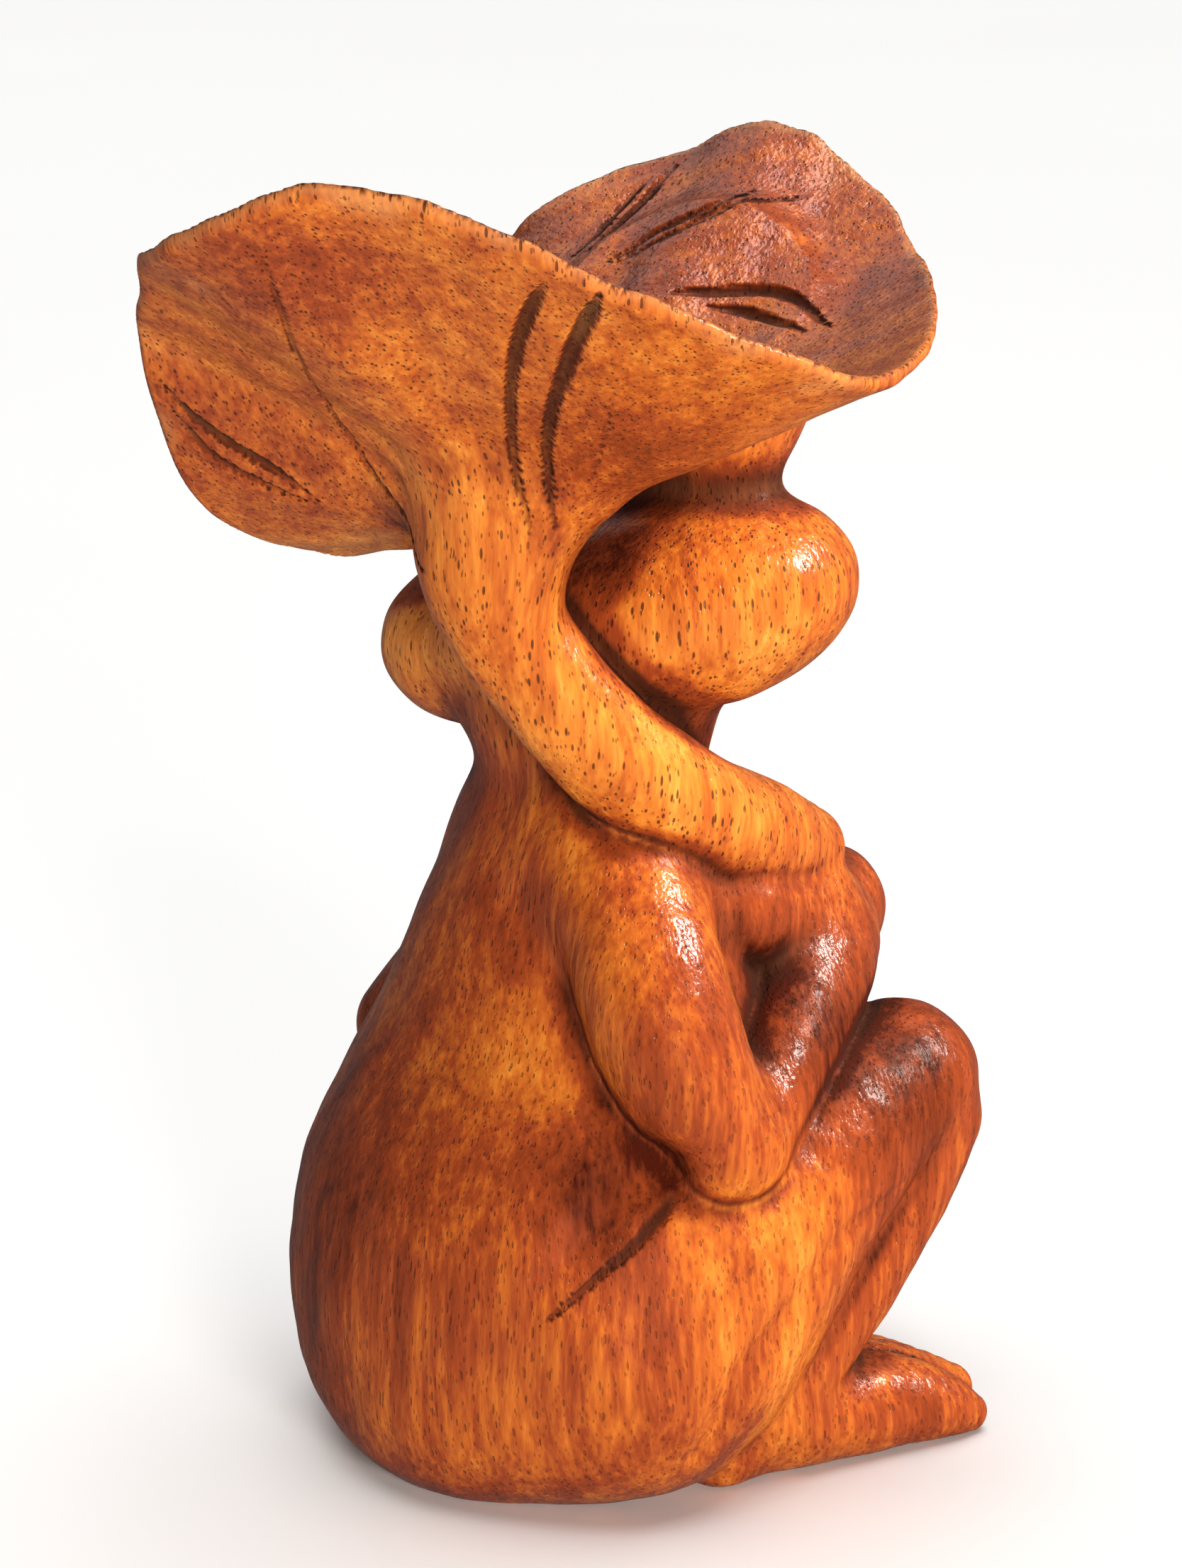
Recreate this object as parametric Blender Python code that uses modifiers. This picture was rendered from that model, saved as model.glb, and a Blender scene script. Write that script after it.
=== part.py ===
"""Carved wooden frog sitting under a lotus leaf that it carries over its right shoulder.

Right-handed frame, +Z up. The frog faces -Y, so its right side is -X. The flat
underside of the torso stands on z = 0 and the origin is on that underside.
All design numbers are millimetres; MM turns them into Blender's metres.

The figure is cut from one block of wood. Each object here is one carved mass,
ending at the groove where the carver turned from it to the next one.
"""

import math

import bmesh
import bpy
from mathutils import Matrix

MM = 0.001
CLEARANCE = 0.3          # gap left at every groove between two carved masses
LIMB_STEPS = 3           # curve points laid between two joints of a limb
END_CAP_ANGLES = (25, 50, 72)   # latitudes of the rings that round off a limb's end
RING_SIDES = 28          # points round the torso

# Torso: height, half width, half depth and centre y of its oval sections.
TORSO_SECTIONS = (
    (0, 15.5, 18.0, 4.0), (3, 19.8, 20.8, 4.2), (8, 23.4, 22.9, 4.4), (14, 25.2, 23.7, 4.4),
    (20, 25.6, 23.7, 4.3), (28, 24.6, 22.5, 3.6), (36, 22.0, 19.6, 2.4), (42, 19.6, 16.8, 1.6),
    (52, 16.0, 13.8, 0.6), (60, 12.0, 11.0, 0.0), (66, 9.2, 9.2, 0.0),
    (71, 8.6, 8.6, 0.0),
)

# Head: a wide low skull with a full cheek on each side, a tall crown that carries the leaf, and
# two bulging eyes. Each row is a centre, the three radii, and the degrees it is turned about z
# and then tipped about y.
SKULL = ((1.0, -3.2, 77.3), (19.5, 16.0, 8.2), 15, 13)
CHEEK_RIGHT = ((-9.5, -5.4, 80.2), (13.8, 11.4, 9.2), 52, 14)
CHEEK_LEFT = ((13.5, 2.6, 73.4), (8.8, 8.9, 7.6), 15, 13)
CROWN = ((-4.7, -7.8, 96.5), (12.0, 8.8, 11.5), 0, 0)
EYE_RIGHT = ((-3.0, -11.6, 90.8), (5.0, 5.0, 5.0), 0, 0)
EYE_LEFT = ((7.6, -12.8, 88.2), (5.0, 5.0, 5.0), 0, 0)
LOBE_SIDES = 24

# Limbs: rows of x, y, z and radius for the right side, which is -X.
UPPER_ARM_RIGHT = ((-9.8, 4.6, 57, 6.0), (-16.8, 6.6, 48.5, 6.9), (-20.4, 5.8, 41, 6.4), (-22.4, 3.2, 34.6, 5.2))
UPPER_ARM_LEFT = ((7.5, -1.0, 56.5, 5.6), (12.8, -1.1, 49, 5.6), (18.8, 0.3, 41.5, 5.4), (24.2, 2.8, 33.6, 5.4))
FOREARM_RIGHT = ((-21.9, 0.9, 33.6, 4.6), (-19.3, -5.4, 38.3, 4.9), (-14.7, -12.2, 42.6, 5.9),
                 (-9.6, -18.2, 46.3, 6.5), (-4.6, -20.9, 46.9, 6.0))
PALM_RIGHT = ((-13.0, -7.5, 51.6, 4.6), (-9.5, -15.5, 51.4, 5.2))
FOREARM_LEFT = ((23.9, 0.7, 33.4, 4.8), (19.5, -6.6, 38.4, 4.8), (13.2, -16.5, 43.1, 5.6),
                (5.2, -25.2, 46.0, 6.2), (-1.4, -26.7, 45.9, 6.1))
THIGH = ((-15.5, 7, 13, 11.2), (-17.5, 2, 17.5, 10.4), (-19, -5.5, 25, 9.3), (-19, -13.5, 31.4, 8.3),
         (-18.3, -21.4, 34.4, 7.4))
SHIN = ((-19.1, -23.0, 30.8, 6.1), (-19.8, -18.3, 22.8, 5.3), (-19.6, -11.8, 14.6, 5.0), (-18.9, -6.0, 7.8, 4.9),
        (-17.4, -2.4, 4.8, 4.5))
TOES = (
    ((-14.5, -9, 5.8, 5.2), (-13.2, -19.5, 4.6, 3.9), (-12.4, -27.6, 2.4, 2.3)),
    ((-17.0, -9, 5.8, 5.2), (-17.2, -20.5, 4.4, 4.0), (-18.0, -28.9, 2.3, 2.2)),
    ((-18.8, -9, 5.4, 5.4), (-20.4, -17.4, 4.3, 4.6), (-22.2, -23.2, 3.2, 3.3), (-23.2, -26.4, 2.0, 1.9)),
)
HEEL = ((-17.0, -1.5, 3.8, 4.4), (-17.0, -9.0, 4.6, 5.0))
STEM = ((-7.8, 16.7, 84.1, 5.9), (-7.9, 16.6, 83.0, 5.6), (-8.5, 15.8, 80.8, 5.2), (-9.6, 14.0, 77.4, 4.9),
        (-11, 11.3, 73.2, 5.0), (-12.4, 7.0, 68.4, 5.3), (-13, 2.6, 64.9, 5.2), (-12.8, -2.4, 61.7, 5.3),
        (-11.4, -10, 57.9, 5.2), (-9.0, -17.2, 55.1, 4.1))
FUNNEL = ((-7.8, 16.7, 84.5, 6.0), (-7.8, 16.7, 87.0, 6.8), (-8.5, 15.8, 91.0, 8.6))

# Leaf: rows of angle about the hub (degrees, 0 is the frog's left, -90 its front),
# radius and height of the wavy rim.
LEAF_HUB = (-9.9, 13.3)
LEAF_HUB_HEIGHT = 90.5
LEAF_THICKNESS = 1.7
LEAF_ROOM = 8.0          # depth of wood taken off the crown where the leaf lies on it
LEAF_ANGLE_STEP = 9
LEAF_RINGS = 7
LEAF_RIM = (
    (-150, 33.6, 106.0), (-128, 32.8, 108.5), (-109, 34.0, 111.0), (-94, 35.2, 114.9), (-74, 36.0, 119.8),
    (-59, 35.0, 116.3), (-44, 34.0, 114.5), (-32, 33.0, 109.0), (-18, 29.5, 94.0), (-4, 28.0, 83.0),
    (7, 30.0, 83.0), (18, 32.0, 85.1), (28, 33.3, 89.4), (36, 33.8, 94.8), (45, 33.8, 101.9), (52, 33.8, 106.4),
    (61, 33.5, 109.8), (70, 34.1, 112.9), (84, 35.8, 115.3), (98, 36.8, 118.3), (118, 36.8, 122.2),
    (138, 36.4, 118.9), (150, 36.0, 115.2), (164, 36.0, 111.6), (176, 35.8, 108.5), (192, 34.8, 105.4),
)

WOODS = {
    "leaf": (0.42, 0.16, 0.045),
    "stem": (0.50, 0.20, 0.05),
    "head": (0.47, 0.19, 0.05),
    "torso": (0.30, 0.085, 0.03),
    "limb": (0.26, 0.07, 0.028),
    "foot": (0.28, 0.085, 0.03),
}
VARNISH_ROUGHNESS = 0.3


def clear_scene():
    for item in list(bpy.data.objects):
        bpy.data.objects.remove(item, do_unlink=True)


def new_collection(name):
    collection = bpy.data.collections.new(name)
    bpy.context.scene.collection.children.link(collection)
    return collection


def wood(name):
    """Varnished wood in one flat colour."""
    material = bpy.data.materials.new("wood_" + name)
    material.use_nodes = True
    surface = material.node_tree.nodes["Principled BSDF"]
    surface.inputs["Base Color"].default_value = (*WOODS[name], 1.0)
    surface.inputs["Roughness"].default_value = VARNISH_ROUGHNESS
    surface.inputs["Metallic"].default_value = 0.0
    return material


def smooth_rows(rows, steps):
    """Rows of numbers joined by a Catmull-Rom curve, with `steps` rows to each span."""
    first = [2 * a - b for a, b in zip(rows[0], rows[1])]
    last = [2 * a - b for a, b in zip(rows[-1], rows[-2])]
    knots = [first, *rows, last]
    result = []
    for before, start, end, after in zip(knots, knots[1:], knots[2:], knots[3:]):
        for step in range(steps):
            t = step / steps
            row = []
            for a, b, c, d in zip(before, start, end, after):
                bend = (2 * a - 5 * b + 4 * c - d) * t + (3 * b - a - 3 * c + d) * t * t
                row.append(0.5 * (2 * b + (c - a) * t + bend * t))
            result.append(row)
    result.append(list(rows[-1]))
    return result


def mirrored(rows):
    """The same limb on the frog's left side."""
    return tuple((-x, y, z, radius) for x, y, z, radius in rows)


def finish_mesh(name, mesh, collection, material=None):
    item = bpy.data.objects.new(name, mesh)
    collection.objects.link(item)
    for face in mesh.polygons:
        face.use_smooth = True
    if material:
        mesh.materials.clear()
        mesh.materials.append(material)
    return item


def mesh_of_faces(name, points, faces):
    mesh = bpy.data.meshes.new(name)
    mesh.from_pydata([[value * MM for value in point] for point in points], [], faces)
    mesh.validate()
    return mesh


def rounded_end(row, neighbour):
    """Rings that close a limb with a dome beyond `row`, pointing away from `neighbour`."""
    x, y, z, radius = row
    away = [a - b for a, b in zip(row[:3], neighbour[:3])]
    length = math.sqrt(sum(value * value for value in away))
    rings = []
    for angle in END_CAP_ANGLES:
        reach = radius * math.sin(math.radians(angle)) / length
        ring_radius = radius * math.cos(math.radians(angle))
        rings.append([x + away[0] * reach, y + away[1] * reach, z + away[2] * reach, ring_radius])
    return rings


def limb_mesh(name, rows, grow=0.0, start_domed=True, end_domed=True):
    """Round limb through the rows, domed or cut square at its ends, as one closed mesh."""
    rows = [(x, y, z, radius + grow) for x, y, z, radius in rows]
    path = smooth_rows(rows, LIMB_STEPS)
    start = rounded_end(path[0], path[1]) if start_domed else []
    end = rounded_end(path[-1], path[-2]) if end_domed else []
    path = start[::-1] + path + end
    curve = bpy.data.curves.new(name, "CURVE")
    curve.dimensions = "3D"
    curve.twist_mode = "MINIMUM"
    curve.bevel_depth = MM
    curve.bevel_resolution = 2
    curve.use_fill_caps = True
    line = curve.splines.new("POLY")
    line.points.add(len(path) - 1)
    for point, (x, y, z, radius) in zip(line.points, path):
        point.co = (x * MM, y * MM, z * MM, 1.0)
        point.radius = radius
    carrier = bpy.data.objects.new(name + "_path", curve)
    bpy.context.scene.collection.objects.link(carrier)
    bpy.context.view_layer.update()
    graph = bpy.context.evaluated_depsgraph_get()
    mesh = bpy.data.meshes.new_from_object(carrier.evaluated_get(graph))
    bpy.data.objects.remove(carrier, do_unlink=True)
    weld(mesh)
    return mesh


def weld(mesh):
    """Joins the caps of a bevelled curve to its wall."""
    cage = bmesh.new()
    cage.from_mesh(mesh)
    bmesh.ops.remove_doubles(cage, verts=cage.verts, dist=0.01 * MM)
    bmesh.ops.recalc_face_normals(cage, faces=cage.faces)
    cage.to_mesh(mesh)
    cage.free()


def loft_mesh(name, rings):
    """Closed skin over rings that all have the same number of points."""
    sides = len(rings[0])
    points = [point for ring in rings for point in ring]
    faces = [tuple(range(sides))[::-1]]
    for lower in range(0, (len(rings) - 1) * sides, sides):
        for side in range(sides):
            after = (side + 1) % sides
            faces.append((lower + side, lower + after, lower + sides + after, lower + sides + side))
    top = (len(rings) - 1) * sides
    faces.append(tuple(range(top, top + sides)))
    mesh = mesh_of_faces(name, points, faces)
    weld(mesh)
    return mesh


def torso_mesh(name, grow=0.0):
    rings = []
    for z, half_width, half_depth, centre in smooth_rows(TORSO_SECTIONS, 2):
        ring = []
        for side in range(RING_SIDES):
            angle = math.tau * side / RING_SIDES
            x = (half_width + grow) * math.cos(angle)
            y = centre + (half_depth + grow) * math.sin(angle)
            ring.append((x, y, z))
        rings.append(ring)
    if grow:
        rings[0] = [(x, y, z - 1) for x, y, z in rings[0]]
        rings[-1] = [(x, y, z + grow) for x, y, z in rings[-1]]
    return loft_mesh(name, rings)


def lobe_mesh(name, centre, radii, yaw, roll, grow=0.0):
    """Ellipsoid turned about z by yaw and tipped about its own y by roll."""
    place = Matrix.Translation([value * MM for value in centre])
    turn = Matrix.Rotation(math.radians(yaw), 4, "Z") @ Matrix.Rotation(math.radians(roll), 4, "Y")
    size = Matrix.Diagonal([(radius + grow) * MM for radius in radii] + [1.0])
    cage = bmesh.new()
    bmesh.ops.create_uvsphere(cage, u_segments=LOBE_SIDES, v_segments=LOBE_SIDES // 2, radius=1.0,
                              matrix=place @ turn @ size)
    mesh = bpy.data.meshes.new(name)
    cage.to_mesh(mesh)
    cage.free()
    return mesh


def leaf_mesh(name):
    """Sheet that runs from the hub to the wavy rim, given its thickness by Solidify."""
    rows = list(LEAF_RIM) + [(LEAF_RIM[0][0] + 360, *LEAF_RIM[0][1:])]
    fine = smooth_rows(rows, 6)
    angles = range(0, 360, LEAF_ANGLE_STEP)
    points = [(LEAF_HUB[0], LEAF_HUB[1], LEAF_HUB_HEIGHT)]
    for ring in range(1, LEAF_RINGS + 1):
        share = ring / LEAF_RINGS
        for offset in angles:
            angle = LEAF_RIM[0][0] + offset
            after = next(index for index, row in enumerate(fine) if row[0] > angle)
            low, high = fine[after - 1], fine[after]
            mix = (angle - low[0]) / (high[0] - low[0])
            radius = low[1] + (high[1] - low[1]) * mix
            height = low[2] + (high[2] - low[2]) * mix
            turn = math.radians(angle)
            x = LEAF_HUB[0] + share * radius * math.cos(turn)
            y = LEAF_HUB[1] + share * radius * math.sin(turn)
            points.append((x, y, LEAF_HUB_HEIGHT + (height - LEAF_HUB_HEIGHT) * share))
    count = len(angles)
    faces = [(0, 1 + side, 1 + (side + 1) % count) for side in range(count)]
    for ring in range(LEAF_RINGS - 1):
        inner = 1 + ring * count
        for side in range(count):
            after = (side + 1) % count
            faces.append((inner + side, inner + count + side, inner + count + after, inner + after))
    return mesh_of_faces(name, points, faces)


def add_thickness(item, below, above):
    """Turns a sheet into a slab that reaches `below` and `above` it."""
    shell = item.modifiers.new("thickness", "SOLIDIFY")
    shell.thickness = (below + above) * MM
    shell.offset = (above - below) / (above + below)
    shell.use_even_offset = True


def add_boolean(item, other, operation):
    cut = item.modifiers.new(operation.lower() + "_" + other.name, "BOOLEAN")
    cut.operation = operation
    cut.solver = "EXACT"
    cut.object = other


class Figure:
    """The carved masses and the slightly larger copies that cut their neighbours."""

    def __init__(self):
        self.parts = new_collection("lotus_frog")
        self.cutters = new_collection("cutters")
        self.cutters.hide_render = True
        self.woods = {name: wood(name) for name in WOODS}

    def helper(self, name, mesh):
        item = finish_mesh(name, mesh, self.cutters)
        item.hide_render = True
        item.display_type = "WIRE"
        return item

    def mass(self, name, make, material, cut_by=()):
        """One carved mass, with room left for the masses in `cut_by`."""
        item = finish_mesh(name, make(name), self.parts, self.woods[material])
        cutter = self.helper("room_for_" + name, make("room_for_" + name, CLEARANCE))
        for other in cut_by:
            add_boolean(item, bpy.data.objects["room_for_" + other], "DIFFERENCE")
        return item, cutter

    def limb(self, name, rows, material, cut_by=()):
        def make(mesh_name, grow=0.0):
            return limb_mesh(mesh_name, rows, grow)
        return self.mass(name, make, material, cut_by)

    def add_lobe(self, item, name, row, grow=0.0):
        add_boolean(item, self.helper(name, lobe_mesh(name, *row, grow)), "UNION")

    def head(self):
        item = finish_mesh("head", lobe_mesh("head", *SKULL), self.parts, self.woods["head"])
        room = self.helper("room_for_head", lobe_mesh("room_for_head", *SKULL, CLEARANCE))
        for name, row in (("cheek_right", CHEEK_RIGHT), ("cheek_left", CHEEK_LEFT)):
            self.add_lobe(item, name, row)
            self.add_lobe(room, name + "_room", row, CLEARANCE)
        for name, row in (("crown", CROWN), ("eye_right", EYE_RIGHT), ("eye_left", EYE_LEFT)):
            self.add_lobe(item, name, row)
        add_boolean(item, bpy.data.objects["room_for_torso"], "DIFFERENCE")
        leaf_room = self.helper("room_for_leaf", leaf_mesh("room_for_leaf"))
        below = LEAF_THICKNESS / 2 + CLEARANCE
        add_thickness(leaf_room, below, LEAF_ROOM - below)
        add_boolean(item, leaf_room, "DIFFERENCE")

    def leaf(self):
        item = finish_mesh("leaf", leaf_mesh("leaf"), self.parts, self.woods["leaf"])
        add_thickness(item, LEAF_THICKNESS / 2, LEAF_THICKNESS / 2)
        funnel = limb_mesh("funnel", FUNNEL, start_domed=False, end_domed=False)
        add_boolean(item, self.helper("funnel", funnel), "UNION")
        add_boolean(item, bpy.data.objects["room_for_head"], "DIFFERENCE")

    def stem(self):
        def make(mesh_name, grow=0.0):
            return limb_mesh(mesh_name, STEM, grow, start_domed=False)
        self.mass("stem", make, "stem", cut_by=("torso", "head"))

    def forearm(self, side_name, cut_by):
        name = "forearm_" + side_name
        item, _ = self.limb(name, FOREARM_RIGHT if side_name == "right" else FOREARM_LEFT, "limb")
        if side_name == "right":
            add_boolean(item, self.helper("palm", limb_mesh("palm", PALM_RIGHT)), "UNION")
        for other in cut_by:
            add_boolean(item, bpy.data.objects["room_for_" + other], "DIFFERENCE")

    def foot(self, side_name, side_of):
        """Heel and three toes in one, with a flat sole on the ground."""
        name = "foot_" + side_name
        cut_by = ("torso", "shin_" + side_name)
        item, _ = self.limb(name, side_of(HEEL), "foot")
        for number, toe in enumerate(TOES, 1):
            toe_name = f"toe_{number}_{side_name}"
            add_boolean(item, self.helper(toe_name, limb_mesh(toe_name, side_of(toe))), "UNION")
        for other in cut_by:
            add_boolean(item, bpy.data.objects["room_for_" + other], "DIFFERENCE")
        add_boolean(item, bpy.data.objects["ground"], "DIFFERENCE")


def ground_mesh():
    """Block below z = 0 that gives a foot its flat sole."""
    half, depth = 60, 20
    corners = [(x, y, z) for z in (-depth, 0) for y in (-half, half) for x in (-half, half)]
    faces = ((0, 2, 3, 1), (4, 5, 7, 6), (0, 1, 5, 4), (2, 6, 7, 3), (0, 4, 6, 2), (1, 3, 7, 5))
    return mesh_of_faces("ground", corners, faces)


def build():
    clear_scene()
    figure = Figure()
    figure.helper("ground", ground_mesh())
    figure.mass("torso", torso_mesh, "torso")
    figure.head()
    figure.leaf()
    figure.stem()
    for side_name, side_of in (("right", tuple), ("left", mirrored)):
        upper_arm = UPPER_ARM_RIGHT if side_name == "right" else UPPER_ARM_LEFT
        thigh, shin = "thigh_" + side_name, "shin_" + side_name
        arm = "upper_arm_" + side_name
        figure.limb(thigh, side_of(THIGH), "limb", cut_by=("torso",))
        arm_room = ("torso", "stem", thigh) if side_name == "right" else ("torso", thigh)
        figure.limb(arm, upper_arm, "limb", cut_by=arm_room)
        figure.limb(shin, side_of(SHIN), "limb", cut_by=("torso", thigh))
        forearm_room = ["torso", thigh, arm, "stem"]
        if side_name == "left":
            forearm_room.append("forearm_right")
        figure.forearm(side_name, forearm_room)
        figure.foot(side_name, side_of)


build()
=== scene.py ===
"""Varnished wooden frog sitting under a lotus leaf: the finished carving, its wood, floor and light.

The carving is described as fields: functions that give, in design millimetres, roughly how far
a point lies outside one carved mass. The fields are blended into a single body, knife cuts are
sunk into it, and the surface is meshed once. Every mass then takes its own share of that surface,
so neighbouring pieces meet in the groove between them without a crack.
"""

import math

import bpy
import numpy as np
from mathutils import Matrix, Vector


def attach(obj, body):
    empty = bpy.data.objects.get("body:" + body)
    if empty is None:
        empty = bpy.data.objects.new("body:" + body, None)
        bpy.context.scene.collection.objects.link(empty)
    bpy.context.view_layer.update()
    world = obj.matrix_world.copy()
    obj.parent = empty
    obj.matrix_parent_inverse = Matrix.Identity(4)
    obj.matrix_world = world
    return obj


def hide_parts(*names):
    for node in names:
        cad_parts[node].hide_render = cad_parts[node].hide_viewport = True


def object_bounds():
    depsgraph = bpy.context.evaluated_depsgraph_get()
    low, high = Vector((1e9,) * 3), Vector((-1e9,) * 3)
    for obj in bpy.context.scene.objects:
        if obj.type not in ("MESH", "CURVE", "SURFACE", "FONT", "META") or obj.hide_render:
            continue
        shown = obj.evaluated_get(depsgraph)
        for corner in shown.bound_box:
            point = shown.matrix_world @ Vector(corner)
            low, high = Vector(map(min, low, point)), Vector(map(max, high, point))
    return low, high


DESIGN_HEIGHT = 122.8    # millimetres from the ground to the top of the leaf in the tables below

# ---- Carved masses. x is the frog's left, -y its front, z is up.

# Torso: height, half width, half depth and centre y of its oval sections.
TORSO = (
    (-3, 12.5, 15.0, 4.0), (0, 15.5, 18.0, 4.0), (3, 19.8, 20.8, 4.2), (8, 23.4, 22.9, 4.4),
    (14, 25.2, 23.7, 4.4), (20, 25.6, 23.7, 4.3), (28, 24.6, 22.5, 3.6), (36, 22.0, 19.6, 2.4),
    (42, 19.6, 16.8, 1.6), (52, 16.0, 13.8, 0.6), (60, 12.2, 11.2, 0.0), (66, 9.5, 9.5, 0.0),
    (74, 9.2, 9.2, 0.0),
)
TORSO_TOP = 73.0
TORSO_SLOPE = 0.93       # slope of the torso's field, a little under that of a true distance

# Rounded lobes of the head: centre, radii, then degrees turned about z and tipped about y.
HEAD_LOBES = (
    ((1.0, -3.2, 77.3), (19.5, 16.0, 8.2), 15, 13),
    ((-9.5, -5.4, 80.2), (13.8, 11.4, 9.2), 52, 14),
    ((13.5, 2.6, 73.4), (8.8, 8.9, 7.6), 15, 13),
)
HEAD_TURN = (15, 13)
CROWN = ((-4.9, -8.1, 100.5), (12.4, 9.0, 13.0), 0, 0)
CROWN_BLEND = 5.0
CROWN_BLEND_FROM = (91.0, 99.0)   # heights between which the crown begins to flow into the leaf
NECK = ((0.0, 0.0, 69.0), (10.5, 10.5, 7.0), 0, 0)
HEAD_BLEND = 4.0

# Limbs: rows of x, y, z and radius. The thigh, shin and foot are mirrored for the left side.
UPPER_ARM_RIGHT = ((-9.8, 4.6, 57.0, 6.0), (-16.8, 6.6, 48.5, 6.9), (-20.4, 5.8, 41, 6.4),
                   (-22.4, 3.2, 34.6, 5.2))
UPPER_ARM_LEFT = ((7.5, -1.0, 56.5, 5.6), (12.8, -1.1, 49, 5.6), (18.8, 0.3, 41.5, 5.4),
                  (24.2, 2.8, 33.6, 5.4))
FOREARM_RIGHT = ((-21.9, 0.9, 33.6, 4.6), (-19.3, -5.4, 38.3, 4.9), (-14.7, -12.2, 42.6, 5.9),
                 (-9.6, -18.2, 46.3, 6.5), (-4.6, -20.9, 46.9, 6.0))
FOREARM_LEFT = ((23.9, 0.7, 33.4, 4.8), (19.5, -6.6, 38.4, 4.8), (13.2, -16.5, 43.1, 5.6),
                (5.2, -25.2, 46.0, 6.2), (-1.4, -26.7, 45.9, 6.1))
PALM_RIGHT = ((-13.0, -7.5, 51.6, 4.6), (-9.5, -15.5, 51.4, 5.2))
THIGH = ((-15.5, 7, 13, 11.2), (-17.5, 2, 17.5, 10.4), (-19, -5.5, 25, 9.3), (-19, -13.5, 31.4, 8.3),
         (-18.3, -21.4, 34.4, 7.4))
SHIN = ((-19.1, -23.0, 30.8, 6.1), (-19.8, -18.3, 22.8, 5.3), (-19.6, -11.8, 14.6, 5.0),
        (-18.9, -6.0, 7.8, 4.9), (-17.4, -2.4, 4.8, 4.5))
STEM = ((-7.8, 16.7, 85.5, 5.6), (-8.5, 15.8, 80.8, 5.1), (-9.6, 14.0, 77.4, 4.9), (-11, 11.3, 73.2, 5.0),
        (-12.4, 7.0, 68.4, 5.3), (-13, 2.6, 64.9, 5.2), (-12.8, -2.4, 61.7, 5.3), (-11.4, -10, 57.9, 5.2),
        (-9.0, -17.2, 55.1, 4.1))
TOES = (
    ((-14.5, -9, 5.8, 5.2), (-13.2, -19.5, 4.6, 3.9), (-12.4, -27.6, 2.4, 2.3)),
    ((-17, -9, 5.8, 5.2), (-17.2, -20.5, 4.4, 4.0), (-18.0, -28.9, 2.1, 2.2)),
    ((-18.8, -9, 5.4, 5.4), (-20.4, -17.4, 4.3, 4.6), (-22.2, -23.2, 3.0, 3.3), (-23.2, -26.4, 1.8, 1.9)),
)
HEEL = ((-17, -1.5, 3.6, 4.6), (-17, -9, 4.4, 5.0))

# Leaf: its hub, then rows of angle about the hub (degrees, 0 is the frog's left, -90 its front),
# radius and height of the wavy rim.
LEAF_HUB = (-9.9, 13.3, 90.5)
LEAF_RIM = (
    (-150, 34, 106), (-128, 33.5, 108.5), (-109, 34.5, 111), (-94, 35.5, 114.9), (-74, 36, 120.0),
    (-59, 35, 116.5), (-44, 34, 113.6), (-32, 33, 107.8), (-18, 29.5, 94), (-4, 28, 83), (7, 30, 83),
    (18, 32, 85.1), (28, 33.5, 89.4), (36, 34, 94.8), (45, 34.0, 101.9), (52, 34.0, 106.8),
    (61, 33.6, 109.8), (70, 34.2, 113.0), (84, 35.9, 115.4), (98, 37, 118.4), (118, 37, 122.4),
    (138, 36.5, 119.1),
    (150, 36, 115.2), (164, 36, 111.6), (176, 36, 108.5), (192, 35, 105.4),
)
LEAF_CUP = 1.05          # power of the radius that the leaf's height follows
LEAF_EDGE = 1.1          # thickness at the rim
LEAF_SWELL = 2.2         # extra thickness at the hub
LEAF_RIM_ROUNDING = 0.6
LEAF_FURTHEST = 1.15     # share of the radius past which the sheet's slope stays as it is
FUNNEL = ((-7.6, 17.0, 84.5, 4.6), (-7.7, 16.8, 88, 5.8), (-8.4, 15.8, 93, 7.6))
FUNNEL_BLEND = 6.0

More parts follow.
